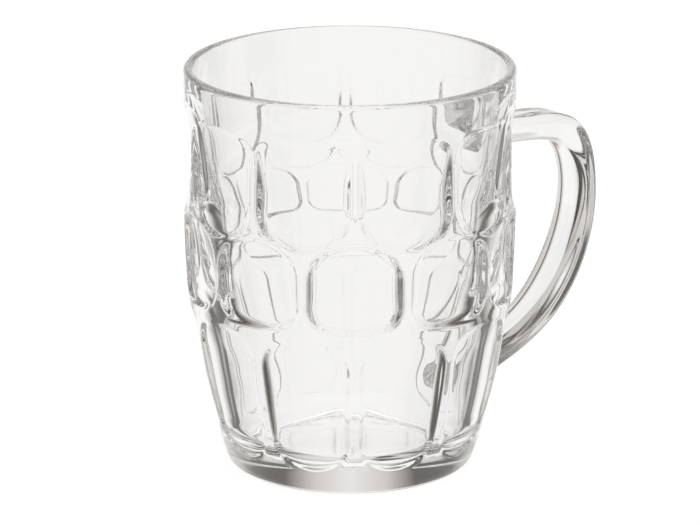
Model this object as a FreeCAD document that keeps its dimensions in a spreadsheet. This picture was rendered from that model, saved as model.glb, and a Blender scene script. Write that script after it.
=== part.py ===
import FreeCAD, Part
import math
import os
import Sketcher
from FreeCAD import Placement, Rotation, Vector

# Dimpled glass mug: a pressed glass bowl with a solid handle fused to it.
# Millimetres. Z is up, the origin is the centre of the foot on the standing plane,
# and the handle points along +X.

doc = FreeCAD.newDocument("dimpled_mug")

# ---------------------------------------------------------------- sizes
SIZES = [
    # bowl, outside
    ("overall_height", "121.5"),
    ("rim_radius", "49.0"),
    ("belly_radius", "49.2"),
    ("belly_height", "76"),
    ("waist_radius", "45.0"),
    ("waist_height", "30"),
    ("shoulder_curve", "254"),
    ("foot_radius", "37.6"),
    ("foot_top", "3.6"),
    ("foot_curve", "118"),
    ("foot_corner", "4.2"),
    ("ring_outer", "34.6"),
    ("ring_inner", "31.5"),
    ("recess_depth", "1.5"),
    # bowl, inside
    ("lip_wall", "2.8"),
    ("cavity_waist_radius", "37.3"),
    ("cavity_waist_height", "40"),
    ("floor_thickness", "8"),
    ("floor_radius", "24.4"),
    ("floor_corner", "9"),
    # dimples, all rows; tops and bottoms are the sharp corners that the arched edges round off
    ("dimple_count", "10"),
    ("floor_axis_shift", "18"),
    ("wall_slope", "28"),
    ("cutter_reach", "4"),
    ("cutter_depth", "5"),
    ("cutter_inset", "=cutter_depth * tan(wall_slope)"),
    # upper row
    ("upper_top", "110.9"),
    ("upper_bottom", "75.3"),
    ("upper_half_top", "14.2"),
    ("upper_half_bottom", "14.2"),
    ("upper_slope_top", "8"),
    ("upper_slope_bottom", "26"),
    ("upper_arch_top", "60"),
    ("upper_arch_bottom", "20"),
    ("upper_corner_top", "5.5"),
    ("upper_corner_bottom", "6.5"),
    ("upper_plane", "48.4"),
    ("upper_tilt", "0"),
    ("upper_floor_low", "50.5"),
    ("upper_floor_high", "50"),
    ("upper_floor_curve", "82"),
    ("upper_fillet", "2.4"),
    # middle row
    ("middle_top", "82.6"),
    ("middle_bottom", "52.4"),
    ("middle_half_top", "14.2"),
    ("middle_half_bottom", "14"),
    ("middle_slope_top", "26"),
    ("middle_slope_bottom", "8"),
    ("middle_arch_top", "21"),
    ("middle_arch_bottom", "50"),
    ("middle_corner_top", "6.5"),
    ("middle_corner_bottom", "7.5"),
    ("middle_plane", "48.2"),
    ("middle_tilt", "1.5"),
    ("middle_floor_low", "48.2"),
    ("middle_floor_high", "50.1"),
    ("middle_floor_curve", "79"),
    ("middle_fillet", "2.4"),
    # lower row
    ("lower_top", "53.3"),
    ("lower_bottom", "6.6"),
    ("lower_half_top", "13.6"),
    ("lower_half_bottom", "10.8"),
    ("lower_slope_top", "27"),
    ("lower_slope_bottom", "26"),
    ("lower_arch_top", "19"),
    ("lower_arch_bottom", "14.5"),
    ("lower_corner_top", "6"),
    ("lower_corner_bottom", "5.5"),
    ("lower_plane", "43.0"),
    ("lower_tilt", "12"),
    ("lower_floor_low", "36.8"),
    ("lower_floor_high", "49.9"),
    ("lower_floor_curve", "4000"),
    ("lower_fillet", "2.0"),
    # handle
    ("grip_round", "3.1"),
]

# how far each arched edge's own corners move when the outline is drawn inset
for row in ("upper", "middle", "lower"):
    for end in ("top", "bottom"):
        slope = "%s_slope_%s" % (row, end)
        half = "%s_half_%s" % (row, end)
        SIZES.append(("%s_edge_%s" % (row, end), "=cutter_inset / cos(%s)" % slope))
        SIZES.append(("%s_fall_%s" % (row, end), "=(%s - cutter_inset) * tan(%s)" % (half, slope)))

# handle sections from the upper root to the lower root:
# distance from the axis, height, direction of the run, thickness, width
GRIP = [
    (43.0, 95.4, -14, 15.0, 18.0),
    (47.0, 94.5, -13, 12.6, 16.0),
    (51.0, 93.6, -10, 10.2, 14.2),
    (56.0, 92.8, -5, 8.6, 13.2),
    (64.0, 92.2, -3, 8.1, 13.0),
    (71.5, 91.6, -7, 8.5, 13.0),
    (78.0, 90.1, -20, 8.9, 13.0),
    (83.2, 87.1, -44, 9.1, 13.0),
    (86.9, 81.0, -70, 8.2, 13.0),
    (88.5, 73.5, -84, 7.7, 13.0),
    (88.6, 66.1, -94, 8.0, 13.0),
    (87.4, 58.8, -104, 8.7, 13.0),
    (85.1, 51.7, -112, 9.3, 13.0),
    (81.9, 45.0, -120, 9.6, 13.0),
    (77.8, 38.9, -128, 9.6, 13.0),
    (72.8, 33.4, -138, 9.3, 13.0),
    (66.9, 28.9, -147, 8.8, 13.0),
    (60.4, 25.4, -155, 8.4, 13.2),
    (53.5, 22.6, -161, 8.4, 13.6),
    (46.4, 20.4, -165, 8.9, 14.2),
    (38.5, 18.4, -166, 9.6, 15.0),
]
GRIP_FIELDS = ("reach", "rise", "turn", "thick", "wide")

sizes = doc.addObject("Spreadsheet::Sheet", "sizes")
row = 1
for alias, value in SIZES:
    sizes.set("A%d" % row, alias)
    sizes.set("B%d" % row, value)
    sizes.setAlias("B%d" % row, alias)
    row += 1
for number, section in enumerate(GRIP):
    for field, value in zip(GRIP_FIELDS, section):
        alias = "grip_%s_%s" % (field, chr(ord("a") + number))
        sizes.set("A%d" % row, alias)
        sizes.set("B%d" % row, str(value))
        sizes.setAlias("B%d" % row, alias)
        row += 1
doc.recompute()


def size(text):
    """Value of a sum or difference of size names, such as 'overall_height - lip_round'."""
    total = 0.0
    sign = 1.0
    for word in text.split():
        if word in "+-":
            sign = 1.0 if word == "+" else -1.0
        else:
            factor, _, name = word.rpartition("*")
            number = float(name) if name.replace(".", "").isdigit() else float(sizes.get(name))
            total += sign * number * (float(factor) if factor else 1.0)
    return total


def formula(text):
    """The same text written as an expression on the sizes sheet."""
    words = []
    for word in text.split():
        factor, _, name = word.rpartition("*")
        plain = name.replace(".", "").isdigit() or name in "+-"
        words.append((factor + " * " if factor else "") + (name if plain else "sizes." + name))
    return " ".join(words)


def bound(target, path, text):
    target.setExpression(path, formula(text))


def fixed_point(sketch, geometry, end, across, along):
    """Tie one sketch point to two lengths from the sketch origin."""
    for kind, text in (("DistanceX", across), ("DistanceY", along)):
        number = sketch.addConstraint(Sketcher.Constraint(kind, -1, 1, geometry, end, size(text)))
        bound(sketch, "Constraints[%d]" % number, text)


def arc_between(first, last, radius, side):
    """Arc from one point to another; side +1 bulges to the left of the run."""
    chord = last.sub(first)
    middle = (first + last) * 0.5
    across = Vector(-chord.y, chord.x, 0).normalize()
    lift = (radius ** 2 - (chord.Length / 2.0) ** 2) ** 0.5
    centre = middle - across * lift * side
    crown = centre + across * radius * side
    # sketch arcs run anticlockwise
    return Part.Arc(last, crown, first) if side > 0 else Part.Arc(first, crown, last)


def outline(sketch, points, runs):
    """Closed outline. Each run is None for a line or (radius name, side) for an arc."""
    places = [Vector(size(a), size(b), 0) for a, b in points]
    count = len(points)
    numbers = []
    flipped = []
    for n in range(count):
        here = places[n]
        there = places[(n + 1) % count]
        if runs[n] is None:
            numbers.append(sketch.addGeometry(Part.LineSegment(here, there), False))
            flipped.append(False)
        else:
            arc = arc_between(here, there, size(runs[n][0]), runs[n][1])
            numbers.append(sketch.addGeometry(arc, False))
            flipped.append(runs[n][1] > 0)
    for n in range(count):
        after = (n + 1) % count
        tail = 1 if flipped[n] else 2
        head = 2 if flipped[after] else 1
        sketch.addConstraint(Sketcher.Constraint("Coincident", numbers[n], tail, numbers[after], head))
        fixed_point(sketch, numbers[after], head, *points[after])
        if runs[n] is not None:
            number = sketch.addConstraint(Sketcher.Constraint("Radius", numbers[n], size(runs[n][0])))
            bound(sketch, "Constraints[%d]" % number, runs[n][0])


def plane_of(body, role):
    for feature in body.Origin.OriginFeatures:
        if feature.Role == role:
            return feature
    raise ValueError(role)


def turned_body(label, points, runs):
    """Body of revolution about Z from an outline of radius and height."""
    body = doc.addObject("PartDesign::Body", label)
    sketch = body.newObject("Sketcher::SketchObject", label + "_profile")
    sketch.AttachmentSupport = (plane_of(body, "XZ_Plane"), [""])
    sketch.MapMode = "FlatFace"
    outline(sketch, points, runs)
    turn = body.newObject("PartDesign::Revolution", label + "_turn")
    turn.Profile = sketch
    turn.ReferenceAxis = (plane_of(body, "Z_Axis"), [""])
    turn.Angle = 360
    body.Tip = turn
    doc.recompute()
    return body


# ---------------------------------------------------------------- outside form
envelope = turned_body(
    "envelope",
    [
        ("0", "recess_depth"),
        ("ring_inner - recess_depth", "recess_depth"),
        ("ring_inner", "0"),
        ("ring_outer", "0"),
        ("foot_radius", "foot_top"),
        ("waist_radius", "waist_height"),
        ("belly_radius", "belly_height"),
        ("rim_radius", "overall_height - 0.5*lip_wall"),
        ("rim_radius - 0.5*lip_wall", "overall_height"),
        ("0", "overall_height"),
    ],
    [
        None,
        None,
        None,
        ("foot_corner", -1),
        ("foot_curve", -1),
        ("shoulder_curve", -1),
        None,
        ("0.5*lip_wall", -1),
        None,
        None,
    ],
)

# ---------------------------------------------------------------- inside form
cavity = turned_body(
    "cavity",
    [
        ("0", "floor_thickness"),
        ("floor_radius", "floor_thickness"),
        ("floor_radius + floor_corner", "floor_thickness + floor_corner"),
        ("cavity_waist_radius", "cavity_waist_height"),
        ("rim_radius - lip_wall", "overall_height - 0.5*lip_wall"),
        ("rim_radius - 0.5*lip_wall", "overall_height"),
        ("0", "overall_height"),
    ],
    [
        None,
        ("floor_corner", -1),
        None,
        None,
        ("0.5*lip_wall", 1),
        None,
        None,
    ],
)


# ---------------------------------------------------------------- dimples
def rounded_outline(sketch, corners, radii):
    """Closed outline with rounded corners, run anticlockwise. Its sharp corners are kept as
    construction points, so the sides stay tied to them."""
    places = [Vector(size(a), size(b), 0) for a, b in corners]
    count = len(places)
    entries = []
    exits = []
    for n in range(count):
        back = (places[n - 1] - places[n]).normalize()
        ahead = (places[(n + 1) % count] - places[n]).normalize()
        reach = size(radii[n]) / math.tan(back.getAngle(ahead) / 2.0)
        entries.append(places[n] + back * reach)
        exits.append(places[n] + ahead * reach)
    sides = []
    bends = []
    for n in range(count):
        after = (n + 1) % count
        sides.append(sketch.addGeometry(Part.LineSegment(exits[n], entries[after]), False))
    for n in range(count):
        arc = arc_between(entries[n], exits[n], size(radii[n]), -1)
        bends.append(sketch.addGeometry(arc, False))
    for n in range(count):
        sketch.addConstraint(Sketcher.Constraint("Tangent", sides[n - 1], 2, bends[n], 1))
        sketch.addConstraint(Sketcher.Constraint("Tangent", bends[n], 2, sides[n], 1))
        number = sketch.addConstraint(Sketcher.Constraint("Radius", bends[n], size(radii[n])))
        bound(sketch, "Constraints[%d]" % number, radii[n])
        mark = sketch.addGeometry(Part.Point(places[n]), True)
        fixed_point(sketch, mark, 1, *corners[n])
        sketch.addConstraint(Sketcher.Constraint("PointOnObject", mark, 1, sides[n - 1]))
        sketch.addConstraint(Sketcher.Constraint("PointOnObject", mark, 1, sides[n]))


def dimple_row(name):
    """One row of dimple shapes, patterned round the bowl, to be cut from the outside form."""
    body = doc.addObject("PartDesign::Body", name + "_dimples")
    sketch = body.newObject("Sketcher::SketchObject", name + "_outline")
    sketch.AttachmentSupport = (plane_of(body, "YZ_Plane"), [""])
    sketch.MapMode = "FlatFace"
    # the outline lies in a plane that leans with the wall about the row's mid-height
    sketch.AttachmentOffset = Placement(Vector(0, 90, 48), Rotation(Vector(1, 0, 0), 1))
    halfway = "(sizes.{0}_top + sizes.{0}_bottom) / 2".format(name)
    lean = "sizes.%s_tilt" % name
    sketch.setExpression("AttachmentOffset.Base.y", halfway + " + sizes.cutter_depth * sin(%s)" % lean)
    sketch.setExpression(
        "AttachmentOffset.Base.z", "sizes.{0}_plane - sizes.cutter_depth * cos({1})".format(name, lean)
    )
    sketch.setExpression("AttachmentOffset.Rotation.Angle", "sizes.%s_tilt" % name)
    above = "0.5*{0}_top - 0.5*{0}_bottom - {0}_edge_top".format(name)
    below = "0.5*{0}_bottom - 0.5*{0}_top + {0}_edge_bottom".format(name)
    rounded_outline(
        sketch,
        [
            ("cutter_inset - %s_half_bottom" % name, "%s + %s_fall_bottom" % (below, name)),
            ("0", below),
            ("%s_half_bottom - cutter_inset" % name, "%s + %s_fall_bottom" % (below, name)),
            ("%s_half_top - cutter_inset" % name, "%s - %s_fall_top" % (above, name)),
            ("0", above),
            ("cutter_inset - %s_half_top" % name, "%s - %s_fall_top" % (above, name)),
        ],
        [
            "%s_%s - cutter_inset" % (name, bend)
            for bend in ("corner_bottom", "arch_bottom", "corner_bottom", "corner_top", "arch_top", "corner_top")
        ],
    )
    pad = body.newObject("PartDesign::Pad", name + "_pad")
    pad.Profile = sketch
    pad.setExpression("Length", "sizes.cutter_depth + sizes.cutter_reach")
    pad.setExpression("TaperAngle", "sizes.wall_slope")
    body.Tip = pad
    doc.recompute()

    # floor: a shallow hollow profile turned about an axis set back behind the mug's own axis
    hollow = body.newObject("Sketcher::SketchObject", name + "_floor_profile")
    hollow.AttachmentSupport = (plane_of(body, "XZ_Plane"), [""])
    hollow.MapMode = "FlatFace"
    hollow.AttachmentOffset = Placement(Vector(-18, 60, 0), Rotation())
    hollow.setExpression("AttachmentOffset.Base.x", "-sizes.floor_axis_shift")
    hollow.setExpression("AttachmentOffset.Base.y", halfway)
    span = "0.5*{0}_top - 0.5*{0}_bottom + cutter_depth".format(name)
    fall = "0.5*{0}_bottom - 0.5*{0}_top - cutter_depth".format(name)
    outline(
        hollow,
        [
            ("floor_axis_shift", fall),
            ("%s_floor_low + floor_axis_shift" % name, fall),
            ("%s_floor_high + floor_axis_shift" % name, span),
            ("floor_axis_shift", span),
        ],
        [None, ("%s_floor_curve" % name, 1), None, None],
    )
    groove = body.newObject("PartDesign::Groove", name + "_floor")
    groove.Profile = hollow
    groove.ReferenceAxis = (hollow, ["V_Axis"])
    groove.Angle = 60
    groove.Midplane = True
    body.Tip = groove
    doc.recompute()

    # soft run from the floor into the side walls
    curved = [face for face in groove.Shape.Faces if face.Surface.TypeId != "Part::GeomPlane"]
    floor = max(curved, key=lambda face: face.Area)
    rim = [
        "Edge%d" % (n + 1)
        for n, edge in enumerate(groove.Shape.Edges)
        if any(edge.isSame(other) for other in floor.Edges)
    ]
    soften = body.newObject("PartDesign::Fillet", name + "_floor_run")
    soften.Base = (groove, rim)
    bound(soften, "Radius", name + "_fillet")
    body.Tip = soften
    doc.recompute()

    row = body.newObject("PartDesign::PolarPattern", name + "_row")
    row.TransformMode = "Whole shape"
    row.Axis = (plane_of(body, "Z_Axis"), [""])
    row.Angle = 360
    bound(row, "Occurrences", "dimple_count")
    body.Tip = row
    doc.recompute()
    return body


# every second row is turned by half a step
rows = [dimple_row(name) for name in ("upper", "middle", "lower")]
rows[1].Placement = Placement(Vector(0, 0, 0), Rotation(Vector(0, 0, 1), 18))
rows[1].setExpression("Placement.Rotation.Angle", "180 / sizes.dimple_count")

dimples = doc.addObject("Part::Compound", "dimples")
dimples.Links = rows

pressed_form = doc.addObject("Part::Cut", "pressed_form")
pressed_form.Base = envelope
pressed_form.Tool = dimples

bowl = doc.addObject("Part::Cut", "bowl")
bowl.Base = pressed_form
bowl.Tool = cavity
doc.recompute()


# ---------------------------------------------------------------- handle
def grip_section(letter):
    """Rounded rectangle across the handle: thickness along X, width along Y."""
    sketch = doc.addObject("Sketcher::SketchObject", "grip_section_" + letter)
    half_thick = "0.5*grip_thick_%s" % letter
    half_wide = "0.5*grip_wide_%s" % letter
    rounded_outline(
        sketch,
        [
            ("0 - " + half_thick, "0 - " + half_wide),
            (half_thick, "0 - " + half_wide),
            (half_thick, half_wide),
            ("0 - " + half_thick, half_wide),
        ],
        ["grip_round"] * 4,
    )
    turn = 90.0 - size("grip_turn_" + letter)
    place = Vector(size("grip_reach_" + letter), 0, size("grip_rise_" + letter))
    sketch.Placement = Placement(place, Rotation(Vector(0, 1, 0), turn))
    sketch.setExpression("Placement.Base.x", "sizes.grip_reach_" + letter)
    sketch.setExpression("Placement.Base.z", "sizes.grip_rise_" + letter)
    sketch.setExpression("Placement.Rotation.Angle", "90 - sizes.grip_turn_" + letter)
    return sketch


sections = [grip_section(chr(ord("a") + n)) for n in range(len(GRIP))]
doc.recompute()

grip = doc.addObject("Part::Loft", "grip")
grip.Sections = sections
grip.Solid = True
grip.Ruled = False

handle = doc.addObject("Part::Cut", "handle")
handle.Base = grip
handle.Tool = pressed_form
doc.recompute()

# ---------------------------------------------------------------- checks and export
for item in doc.Objects:
    if "Invalid" in item.State or "Error" in item.State:
        raise RuntimeError("%s: %s" % (item.Label, item.State))

os.makedirs("parts", exist_ok=True)
for node in (bowl, handle):
    if node.Shape.isNull() or not node.Shape.isValid():
        raise RuntimeError(node.Label + " has no valid shape")
    node.Shape.exportStep("parts/%s.step" % node.Label)
print("brim capacity ml:", round(cavity.Shape.Volume / 1000.0))
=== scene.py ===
import math

import bmesh
import bpy
import numpy as np
from mathutils import Matrix, Vector


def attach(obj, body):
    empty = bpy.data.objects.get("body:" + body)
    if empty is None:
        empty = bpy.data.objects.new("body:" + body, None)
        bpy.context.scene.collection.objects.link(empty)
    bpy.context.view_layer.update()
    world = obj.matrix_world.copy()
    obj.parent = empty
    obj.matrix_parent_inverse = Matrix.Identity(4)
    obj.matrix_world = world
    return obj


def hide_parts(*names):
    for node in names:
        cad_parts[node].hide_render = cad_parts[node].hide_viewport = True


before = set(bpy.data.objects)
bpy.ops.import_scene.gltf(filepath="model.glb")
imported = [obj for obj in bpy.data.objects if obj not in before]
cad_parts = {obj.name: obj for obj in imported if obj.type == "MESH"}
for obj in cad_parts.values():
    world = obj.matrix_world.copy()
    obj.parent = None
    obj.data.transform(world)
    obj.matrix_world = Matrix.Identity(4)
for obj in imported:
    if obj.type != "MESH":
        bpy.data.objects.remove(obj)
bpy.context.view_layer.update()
mm = 0.001
weld = 1e-7    # m, vertices nearer than this are one

# small helpers


def hexToLinear(code):
    # sRGB hex colour to the linear values that sockets take
    out = []
    for n in (0, 2, 4):
        c = int(code.lstrip("#")[n:n + 2], 16) / 255
        out.append(c / 12.92 if c <= 0.04045 else ((c + 0.055) / 1.055) ** 2.4)
    return (*out, 1.0)


def addNode(tree, kind, settings=None, links=None):
    # adds a node, sets its inputs or attributes, links {input: (node, output)}
    node = tree.nodes.new(kind)
    for key, value in (settings or {}).items():
        if key in node.inputs:
            node.inputs[key].default_value = value
        else:
            setattr(node, key, value)
    for key, (source, output) in (links or {}).items():
        tree.links.new(source.outputs[output], node.inputs[key])
    return node


def newMaterial(name):
    material = bpy.data.materials.new(name)
    material.use_nodes = True
    material.node_tree.nodes.clear()
    return material, material.node_tree


def smoothMin(a, b, width):
    blend = np.clip(width - np.abs(a - b), 0, None) / width
    return np.minimum(a, b) - blend * blend * width / 4


def smoothMax(a, b, width):
    return -smoothMin(-a, -b, width)


def roundCorner(a, b, radius):
    # distance inside two edges that meet in a rounded corner
    gap = np.hypot(np.clip(radius - a, 0, None), np.clip(radius - b, 0, None))
    return np.maximum(radius, np.minimum(a, b)) - gap


def toObject(name, bm, materials):
    mesh = bpy.data.meshes.new(name)
    bm.to_mesh(mesh)
    bm.free()
    piece = bpy.data.objects.new(name, mesh)
    bpy.context.scene.collection.objects.link(piece)
    for material in materials:
        mesh.materials.append(material)
    mesh.polygons.foreach_set("use_smooth", [True] * len(mesh.polygons))
    return piece


# camera, at the height and distance of a tabletop product shot

shot = {
    "turn": -37.7,       # degrees round the mug, 0 looks along +Y
    "tilt": 16.95,       # degrees above the horizon
    "distance": 1250,    # mm from the aim point
    "aimHeight": 60.55,  # mm above the table
    "lens": 215.87,      # mm
    "sensor": 36,        # mm across
    "clip": (0.05, 50),  # m, nearest and farthest that it sees
}
shotTurn, shotTilt = math.radians(shot["turn"]), math.radians(shot["tilt"])
backward = Vector((math.sin(shotTurn) * math.cos(shotTilt), -math.cos(shotTurn) * math.cos(shotTilt),
                   math.sin(shotTilt)))
cameraData = bpy.data.cameras.new("camera")
cameraData.lens = shot["lens"]
cameraData.sensor_width = shot["sensor"]
cameraData.clip_start, cameraData.clip_end = shot["clip"]
camera = bpy.data.objects.new("camera", cameraData)
bpy.context.scene.collection.objects.link(camera)
camera.location = Vector((0, 0, shot["aimHeight"] * mm)) + backward * shot["distance"] * mm
camera.rotation_mode = "QUATERNION"
camera.rotation_quaternion = (-backward).to_track_quat("-Z", "Y")
bpy.context.scene.camera = camera
print("camera placed")

# glass, soda-lime, pressed in an iron mould and fire-polished: clear and colourless, with a
# mirror-smooth skin that waves slowly, so the lines seen through it bend a little

glass = {
    "tint": "#FEFEFE",
    "ior": 1.52,            # soda-lime
    "roughness": 0.0,
    "waveSize": 22,         # mm, slow waviness left by the plunger
    "waveDepth": 0.03,      # mm
    "waveDetail": 1.0,
    "waveRoughness": 0.4,
}


def makeGlass(name):
    material, tree = newMaterial(name)
    coords = addNode(tree, "ShaderNodeTexCoord")
    wave = addNode(tree, "ShaderNodeTexNoise",
                   {"Scale": 1 / (glass["waveSize"] * mm), "Detail": glass["waveDetail"],
                    "Roughness": glass["waveRoughness"]},
                   {"Vector": (coords, "Object")})
    bump = addNode(tree, "ShaderNodeBump",
                   {"Strength": 1.0, "Distance": glass["waveDepth"] * mm},
                   {"Height": (wave, "Fac")})
    shader = addNode(tree, "ShaderNodeBsdfPrincipled",
                     {"Base Color": hexToLinear(glass["tint"]), "Roughness": glass["roughness"],
                      "IOR": glass["ior"], "Transmission Weight": 1.0},
                     {"Normal": (bump, "Normal")})
    addNode(tree, "ShaderNodeOutputMaterial", links={"Surface": (shader, "BSDF")})
    return material


def makeSeam():
    # the two pieces are melted together here, so light goes straight through
    material, tree = newMaterial("fused_seam")
    shader = addNode(tree, "ShaderNodeBsdfTransparent")
    addNode(tree, "ShaderNodeOutputMaterial", links={"Surface": (shader, "BSDF")})
    return material


bowlGlass = makeGlass("pressed_soda_lime_glass")
handleGlass = makeGlass("drawn_soda_lime_glass")
fusedSeam = makeSeam()
print("glass made")

# bowl

bowl = {
    # outside of the ribs, height and radius, mm
    "outside": [(3.6, 37.6), (8, 38.95), (16.7, 41.6), (24, 43.55), (30, 44.95), (40, 46.7),
                (50.7, 48.1), (60, 48.75), (70, 49.12), (77, 49.2), (95, 49.1), (112, 49.0),
                (120.1, 49.0)],
    # inside wall, height and radius, mm
    "inside": [(120.1, 46.2), (100, 44.0), (80, 41.8), (60, 39.6), (40, 37.3), (28, 35.4), (17, 33.4)],
    # ring it stands on and the edge round it, radius and height, mm
    "foot": [(30.9, 0.25), (31.5, 0.03), (32.0, 0), (34.0, 0), (34.6, 0.05), (35.6, 0.42), (36.3, 1.0),
             (36.85, 1.7), (37.3, 2.6)],
    "recess": 1.5,                          # mm from the table to the flat underside
    "recessRings": (0, 8, 16, 24, 28),      # mm
    "recessCorner": (28.9, 1.1),            # its centre's and its own radius, mm
    "recessMeets": 40,                      # degrees, where the corner meets the foot
    "recessSteps": 4,
    "floor": 8.0,
    "floorCorner": 9.0,
    "floorRings": (0.75, 0.5, 0.3, 0.15, 0),    # shares of the flat floor's radius
    "lipHeight": 121.5,
    "lipWall": 2.8,
    "dimpledBand": (3.6, 113),    # heights that the dimples stay within, mm
    "rowPitch": 0.65,             # mm between rows of the band
    "plainRows": 6,               # rows from the band to the lip
    "plainGaps": (0.5, 0.8),      # mm left free below and above them
    "insideRows": 12,
    "insideGaps": (1, 2),
    "wallMeets": -2,              # degrees, where the inside wall meets the floor's corner
    "arcSteps": 14,
    "aroundSteps": 400,
    "slack": 0.05,                # mm, how near a vertex is to count as on the outside
}
dimples = {
    "count": 10,
    "ribCrowding": 0.45,    # how far the columns gather at the ribs
    "wallSlope": 1.05,      # depth per mm inward
    "edgeRounding": 0.55,   # mm
    "floorRounding": 0.8,   # mm
    # outlines in mm: half widths, radii of the arched bottom and top edges and of the corners, and
    # the floor's height and radius, which bulges round a radius across the dimple
    "rows": [
        {"turn": 0, "low": 77.6, "high": 110.3, "halfLow": 14.2, "halfHigh": 14.2, "bulge": 63,
         "archLow": 21, "archHigh": 60, "cornerLow": 5.5, "cornerHigh": 4,
         "floor": [(77, 48.7), (82, 48.1), (86, 47.65), (90, 47.2), (94, 47.05), (98, 47.2),
                   (102, 47.6), (106, 48.1), (111, 48.9)]},
        {"turn": 18, "low": 52.9, "high": 80.2, "halfLow": 14.2, "halfHigh": 14.2, "bulge": 63,
         "archLow": 60, "archHigh": 21, "cornerLow": 6.5, "cornerHigh": 5.5,
         "floor": [(52, 47.4), (56, 46.9), (60, 46.6), (66, 46.5), (72, 46.8), (77, 47.5), (81, 48.3)]},
        {"turn": 0, "low": 8.2, "high": 51, "halfLow": 11.0, "halfHigh": 13.9, "bulge": 56,
         "archLow": 14.5, "archHigh": 19, "cornerLow": 4, "cornerHigh": 5,
         "floor": [(7, 37.7), (12.9, 39.5), (20.5, 41.3), (28.1, 43.1), (35.7, 44.5), (43.2, 45.9),
                   (47, 46.9), (51, 48.0)]},
    ],
}


def alongCurve(points, at):
    # smooth curve through height-value pairs
    order = sorted(points)
    xs = np.array([p[0] for p in order], float)
    ys = np.array([p[1] for p in order], float)
    slopes = np.gradient(ys, xs)
    at = np.clip(np.asarray(at, float), xs[0], xs[-1])
    n = np.clip(np.searchsorted(xs, at) - 1, 0, len(xs) - 2)
    span = xs[n + 1] - xs[n]
    t = (at - xs[n]) / span
    return ((2 * t**3 - 3 * t**2 + 1) * ys[n] + (t**3 - 2 * t**2 + t) * span * slopes[n]
            + (3 * t**2 - 2 * t**3) * ys[n + 1] + (t**3 - t**2) * span * slopes[n + 1])


def arc(centre, radius, first, last, steps):
    # points on an arc, angles in degrees
    turns = np.radians(np.linspace(first, last, steps + 1))
    return [(centre[0] + radius * math.cos(a), centre[1] + radius * math.sin(a)) for a in turns]


def rowsOf(curve, heights):
    return [(float(alongCurve(curve, h)), float(h)) for h in heights]


def bowlProfile():
    # radius and height, from the middle of the underside round to the middle of the floor
    recess, (recessEnd, bend) = bowl["recess"], bowl["recessCorner"]
    bandLow, bandHigh = bowl["dimpledBand"]
    plainBelow, plainAbove = bowl["plainGaps"]
    insideBelow, insideAbove = bowl["insideGaps"]
    half = bowl["lipWall"] / 2
    top = bowl["lipHeight"] - half
    low, radius = bowl["inside"][-1]
    corner = bowl["floorCorner"]
    path = [(r, recess) for r in bowl["recessRings"]]
    path += arc((recessEnd, recess - bend), bend, 90, bowl["recessMeets"], bowl["recessSteps"])
    path += bowl["foot"]
    path += rowsOf(bowl["outside"], np.arange(bandLow, bandHigh, bowl["rowPitch"]))
    path += rowsOf(bowl["outside"], np.linspace(bandHigh + plainBelow, top - plainAbove,
                                               bowl["plainRows"]))
    path += arc((bowl["outside"][-1][1] - half, top), half, 0, 180, bowl["arcSteps"])
    path += rowsOf(bowl["inside"], np.linspace(top - insideAbove, low + insideBelow,
                                              bowl["insideRows"]))
    path += arc((radius - corner, bowl["floor"] + corner), corner, bowl["wallMeets"], -90,
                bowl["arcSteps"])
    path += [(share * (radius - corner), bowl["floor"]) for share in bowl["floorRings"]]
    return path


def insideArch(gap, across, radius):
    # distance inside an arched edge, from the distance to it at the dimple's middle
    return (gap - across**2 / (2 * radius)) / np.hypot(1, across / radius)


def dimpleDepth(radius, turn, height):
    # how far the mould pushes the outside in, mm
    depth = np.zeros_like(radius)
    step = math.radians(360 / dimples["count"])
    for row in dimples["rows"]:
        away = turn - math.radians(row["turn"])
        away = away - step * np.round(away / step)
        across = radius * np.sin(away)
        share = np.clip((height - row["low"]) / (row["high"] - row["low"]), 0, 1)
        width = row["halfLow"] + (row["halfHigh"] - row["halfLow"]) * share
        side = width - np.abs(across)
        roof = insideArch(row["high"] - height, across, row["archHigh"])
        sill = insideArch(height - row["low"], across, row["archLow"])
        inward = np.minimum(roundCorner(side, roof, row["cornerHigh"]),
                            roundCorner(side, sill, row["cornerLow"]))
        wall = smoothMax(inward * dimples["wallSlope"], 0, dimples["edgeRounding"])
        floorAt = alongCurve(row["floor"], height) - across**2 / (2 * row["bulge"])
        floor = radius - floorAt / np.cos(away)
        made = np.clip(smoothMin(wall, floor, dimples["floorRounding"]), 0, None)
        depth = np.maximum(depth, made)
    return depth


def makeBowl():
    bm = bmesh.new()
    path = bowlProfile()
    points = [bm.verts.new((r * mm, 0, z * mm)) for r, z in path]
    edges = [bm.edges.new((a, b)) for a, b in zip(points, points[1:])]
    bmesh.ops.spin(bm, geom=points + edges, cent=(0, 0, 0), axis=(0, 0, 1), angle=2 * math.pi,
                   steps=bowl["aroundSteps"], use_merge=True)
    bmesh.ops.remove_doubles(bm, verts=bm.verts, dist=weld)
    bmesh.ops.dissolve_degenerate(bm, edges=bm.edges, dist=weld / 10)
    bmesh.ops.recalc_face_normals(bm, faces=bm.faces)
    place = np.array([v.co[:] for v in bm.verts]) / mm
    radius = np.hypot(place[:, 0], place[:, 1])
    turn = np.arctan2(place[:, 1], place[:, 0])
    height = place[:, 2]
    step = math.radians(180 / dimples["count"])
    # the columns gather at the ribs, where the dimples' walls are steep
    turn = turn - dimples["ribCrowding"] * step / (2 * math.pi) * np.sin(turn * 2 * math.pi / step)
    bandLow, bandHigh = bowl["dimpledBand"]
    outside = radius > alongCurve(bowl["outside"], height) - bowl["slack"]
    outside &= (height > bandLow - bowl["slack"]) & (height < bandHigh)
    pushed = np.where(outside, dimpleDepth(radius, turn, height), 0)
    radius = radius - pushed
    for vert, r, a, z in zip(bm.verts, radius, turn, height):
        vert.co = Vector((r * math.cos(a), r * math.sin(a), z)) * mm
    return toObject("bowl_glass", bm, [bowlGlass])


# handle

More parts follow.
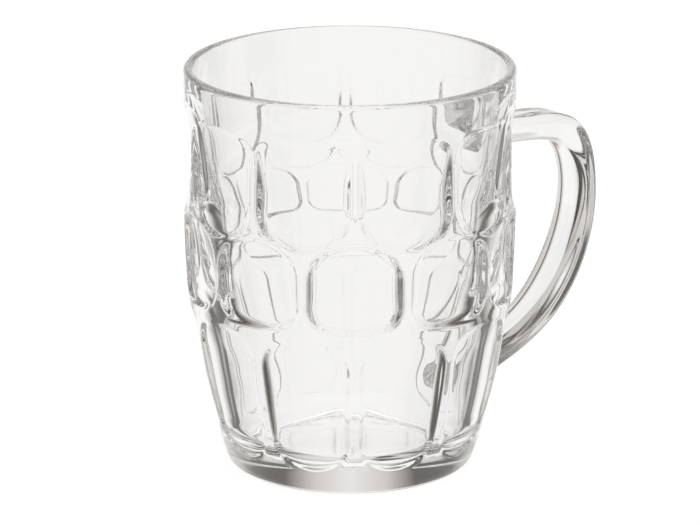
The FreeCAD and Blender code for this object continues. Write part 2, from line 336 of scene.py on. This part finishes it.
handle = {
    # reach from the axis, height, direction of the run, thickness, width, mm and degrees
    "stations": [
        (45.0, 95.0, -13, 13.6, 16.8), (48.0, 94.4, -12, 12.1, 15.8), (51.0, 93.6, -10, 10.2, 14.2),
        (56.0, 92.8, -5, 8.6, 13.2), (64.0, 92.2, -3, 8.1, 13.0), (71.5, 91.6, -7, 8.5, 13.0),
        (78.0, 90.1, -20, 8.9, 13.0), (83.2, 87.1, -44, 9.1, 13.0), (86.9, 81.0, -70, 8.2, 13.0),
        (88.5, 73.5, -84, 7.7, 13.0), (88.6, 66.1, -94, 8.0, 13.0), (87.4, 58.8, -104, 8.7, 13.0),
        (85.1, 51.7, -112, 9.3, 13.0), (81.9, 45.0, -120, 9.6, 13.0), (77.8, 38.9, -128, 9.6, 13.0),
        (72.8, 33.4, -138, 9.3, 13.0), (66.9, 28.9, -147, 8.8, 13.0), (60.4, 25.4, -155, 8.4, 13.2),
        (53.5, 22.6, -161, 8.4, 13.6), (46.4, 20.4, -165, 8.9, 14.2), (40.0, 18.7, -166, 9.4, 14.8),
    ],
    "corner": 3.1,        # mm
    "stepsPerStation": 6,
    "ringSteps": 56,
}


def ringPoint(thick, wide, corner, share):
    # point on a rounded rectangle, evenly spaced round it, thickness then width
    flatA, flatB = thick - 2 * corner, wide - 2 * corner
    bend = corner * math.pi / 2
    at = share * (2 * flatA + 2 * flatB + 4 * bend)
    x, y, heading = -flatA / 2, -wide / 2, 0.0
    for flat in (flatA, flatB, flatA, flatB):
        if at <= flat:
            return x + at * math.cos(heading), y + at * math.sin(heading)
        x, y, at = x + flat * math.cos(heading), y + flat * math.sin(heading), at - flat
        cx, cy = x - corner * math.sin(heading), y + corner * math.cos(heading)
        if at <= bend:
            a = heading - math.pi / 2 + at / corner
            return cx + corner * math.cos(a), cy + corner * math.sin(a)
        at -= bend
        heading += math.pi / 2
        x, y = cx + corner * math.cos(heading - math.pi / 2), cy + corner * math.sin(heading - math.pi / 2)
    return x, y


def placeRing(verts, station):
    reach, rise, run, thick, wide = station
    angle = math.radians(90 - run)
    turnTo = Matrix.Rotation(angle, 3, "Y")
    for n, vert in enumerate(verts):
        a, b = ringPoint(thick, wide, handle["corner"], n / len(verts))
        vert.co = (turnTo @ Vector((a, b, 0)) + Vector((reach, 0, rise))) * mm


def makeHandle():
    stations = handle["stations"]
    count = (len(stations) - 1) * handle["stepsPerStation"]
    at = np.linspace(0, len(stations) - 1, count + 1)
    columns = [alongCurve([(n, s[k]) for n, s in enumerate(stations)], at) for k in range(5)]
    bm = bmesh.new()
    bmesh.ops.create_circle(bm, segments=handle["ringSteps"], radius=1.0)
    ring = list(bm.verts)
    edges = list(bm.edges)
    placeRing(ring, [c[0] for c in columns])
    bmesh.ops.contextual_create(bm, geom=edges)
    for n in range(1, count + 1):
        grown = bmesh.ops.extrude_edge_only(bm, edges=edges)["geom"]
        edges = [e for e in grown if isinstance(e, bmesh.types.BMEdge)]
        ends = {v for e in edges for v in e.verts}
        ring = [next(e.other_vert(v) for e in v.link_edges if e.other_vert(v) in ends) for v in ring]
        placeRing(ring, [c[n] for c in columns])
    bmesh.ops.contextual_create(bm, geom=edges)
    bmesh.ops.triangulate(bm, faces=[f for f in bm.faces if len(f.verts) > 4])
    bmesh.ops.recalc_face_normals(bm, faces=bm.faces)
    return toObject("handle_glass", bm, [handleGlass])


bowlPiece = makeBowl()
print("bowl made", len(bowlPiece.data.polygons))
handlePiece = makeHandle()
print("handle made", len(handlePiece.data.polygons))

# fuse the two: each keeps its own closed skin, and the shared patch is clear


def cutBy(piece, other, name):
    copy = piece.copy()
    copy.data = piece.data.copy()
    bpy.context.scene.collection.objects.link(copy)
    cut = copy.modifiers.new("cut", "BOOLEAN")
    cut.operation, cut.solver, cut.object = "DIFFERENCE", "EXACT", other
    cut.material_mode = "TRANSFER"
    evaluated = copy.evaluated_get(bpy.context.evaluated_depsgraph_get())
    mesh = bpy.data.meshes.new_from_object(evaluated)
    mesh.name = name
    bpy.data.objects.remove(copy)
    return mesh


def facesOf(mesh, material):
    # a bmesh of only the faces that have one material
    bm = bmesh.new()
    bm.from_mesh(mesh)
    slot = [m.name for m in mesh.materials].index(material.name)
    drop = [f for f in bm.faces if f.material_index != slot]
    bmesh.ops.delete(bm, geom=drop, context="FACES")
    return bm


def finishSkin(piece, bm, own):
    # one closed skin, with its own glass in the first slot and the seam in the second
    bmesh.ops.remove_doubles(bm, verts=bm.verts, dist=2 * weld)
    for edge in bm.edges:
        edge.smooth = len({f.material_index for f in edge.link_faces}) < 2
    openEdges = sum(len(e.link_faces) != 2 for e in bm.edges)
    bm.to_mesh(piece.data)
    bm.free()
    piece.data.materials.clear()
    for material in (own, fusedSeam):
        piece.data.materials.append(material)
    print(piece.name, "fused, open edges:", openEdges)


def fuse():
    bowlCut = cutBy(bowlPiece, handlePiece, "bowl_cut")
    handleCut = cutBy(handlePiece, bowlPiece, "handle_cut")
    # the bowl takes the handle's cut faces, turned over, so both have the same patch
    patch = facesOf(handleCut, bowlGlass)
    bmesh.ops.reverse_faces(patch, faces=patch.faces)
    for face in patch.faces:
        face.material_index = 1
    patchMesh = bpy.data.meshes.new("patch")
    patch.to_mesh(patchMesh)
    patch.free()
    skin = facesOf(bowlCut, bowlGlass)
    for face in skin.faces:
        face.material_index = 0
    skin.from_mesh(patchMesh)
    finishSkin(bowlPiece, skin, bowlGlass)
    grip = bmesh.new()
    grip.from_mesh(handleCut)
    slot = [m.name for m in handleCut.materials].index(bowlGlass.name)
    for face in grip.faces:
        face.material_index = int(face.material_index == slot)
    finishSkin(handlePiece, grip, handleGlass)


fuse()
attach(bowlPiece, "root")
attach(handlePiece, "root")
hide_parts("bowl")
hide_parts("handle")

# table and light

studio = {
    "tableColour": "#999999",   # what it returns of the light that falls on it
    "tableGlow": 0.86,          # translucent acrylic, lit from below
    "tableRoughness": 0.8,
    "tableRadius": 3.0,         # m
    "tableSides": 96,
    # brightness of the surroundings, by degrees to the right of straight ahead
    "nearTable": [(-180, 0.7), (-125, 0.7), (-90, 0.62), (-75, 0.4), (-60, 0.05), (-48, 0.08),
                  (-38, 0.6), (-29, 0.95), (29, 0.95), (38, 0.6), (48, 0.08), (60, 0.05), (72, 0.3),
                  (82, 0.6), (92, 0.55), (98, 0.05), (120, 0.03), (132, 0.65), (180, 0.7)],
    "above": [(-180, 0.7), (-130, 0.65), (-110, 0.5), (-95, 0.3), (-82, 0.04), (-70, 0.1), (-60, 0.3),
              (-50, 0.05), (-24, 0.06), (-12, 0.6), (0, 0.8), (12, 0.6), (24, 0.08), (42, 0.1),
              (60, 0.45), (100, 0.45), (120, 0.3), (140, 0.7), (180, 0.7)],
    "overhead": 1.1,
    "cardTint": "#FFF2E6",       # the cards are a warm black
    "aboveStarts": (2, 10),      # degrees of elevation over which one gives way to the other
    "overheadStarts": (48, 68),
    "bounces": 32,               # light crosses many walls
    "glossyBounces": 16,
}


def makeTable():
    bm = bmesh.new()
    bmesh.ops.create_circle(bm, segments=studio["tableSides"], radius=studio["tableRadius"], cap_ends=True)
    material, tree = newMaterial("opal_acrylic_light_table")
    shader = addNode(tree, "ShaderNodeBsdfPrincipled",
                     {"Base Color": hexToLinear(studio["tableColour"]),
                      "Roughness": studio["tableRoughness"],
                      "Emission Color": (1, 1, 1, 1), "Emission Strength": studio["tableGlow"]})
    addNode(tree, "ShaderNodeOutputMaterial", links={"Surface": (shader, "BSDF")})
    table = toObject("table", bm, [material])
    table.visible_transmission = False    # the glass sees the cards round the table, not its glow


def levelRamp(tree, source, output, stops):
    ramp = addNode(tree, "ShaderNodeValToRGB", links={"Fac": (source, output)})
    stops = sorted(stops)
    while len(ramp.color_ramp.elements) < len(stops):
        ramp.color_ramp.elements.new(0.5)
    for element, (at, level) in zip(ramp.color_ramp.elements, stops):
        element.position = at
        element.color = (level, level, level, 1)
    return ramp


def makeSky():
    # white walls ahead and behind, black cards at the sides, a soft box overhead
    world = bpy.data.worlds.new("studio")
    bpy.context.scene.world = world
    world.use_nodes = True
    tree = world.node_tree
    tree.nodes.clear()
    coords = addNode(tree, "ShaderNodeTexCoord")
    ahead, aside = (addNode(tree, "ShaderNodeVectorMath", {"operation": "DOT_PRODUCT"},
                            {0: (coords, "Generated")}) for _ in range(2))
    ahead.inputs[1].default_value = (-math.sin(shotTurn), math.cos(shotTurn), 0)
    aside.inputs[1].default_value = (math.cos(shotTurn), math.sin(shotTurn), 0)
    bearing = addNode(tree, "ShaderNodeMath", {"operation": "ARCTAN2"},
                      {0: (aside, "Value"), 1: (ahead, "Value")})
    share = addNode(tree, "ShaderNodeMapRange", {"From Min": -math.pi, "From Max": math.pi},
                    {"Value": (bearing, "Value")})
    parts = addNode(tree, "ShaderNodeSeparateXYZ", links={"Vector": (coords, "Generated")})
    near, above = (levelRamp(tree, share, "Result", [((a + 180) / 360, v) for a, v in studio[key]])
                   for key in ("nearTable", "above"))
    band, top = (levelRamp(tree, parts, "Z",
                           [(math.sin(math.radians(a)), v) for a, v in zip(studio[key], (0, 1))])
                 for key in ("aboveStarts", "overheadStarts"))
    walls = addNode(tree, "ShaderNodeMixRGB",
                    links={"Fac": (band, "Color"), "Color1": (near, "Color"), "Color2": (above, "Color")})
    over = studio["overhead"]
    whole = addNode(tree, "ShaderNodeMixRGB", {"Color2": (over, over, over, 1)},
                    {"Fac": (top, "Color"), "Color1": (walls, "Color")})
    # only the dark parts are tinted, each by as much as it is dark
    darkness = addNode(tree, "ShaderNodeInvert", links={"Color": (whole, "Color")})
    warm = addNode(tree, "ShaderNodeMixRGB",
                   {"blend_type": "MULTIPLY", "Color2": hexToLinear(studio["cardTint"])},
                   {"Fac": (darkness, "Color"), "Color1": (whole, "Color")})
    light = addNode(tree, "ShaderNodeBackground", links={"Color": (warm, "Color")})
    addNode(tree, "ShaderNodeOutputWorld", links={"Surface": (light, "Background")})


makeTable()
makeSky()
bpy.context.scene.view_settings.view_transform = "Standard"
cycles = bpy.context.scene.cycles
cycles.max_bounces = cycles.transmission_bounces = cycles.transparent_max_bounces = studio["bounces"]
cycles.glossy_bounces = studio["glossyBounces"]
print("studio lit")
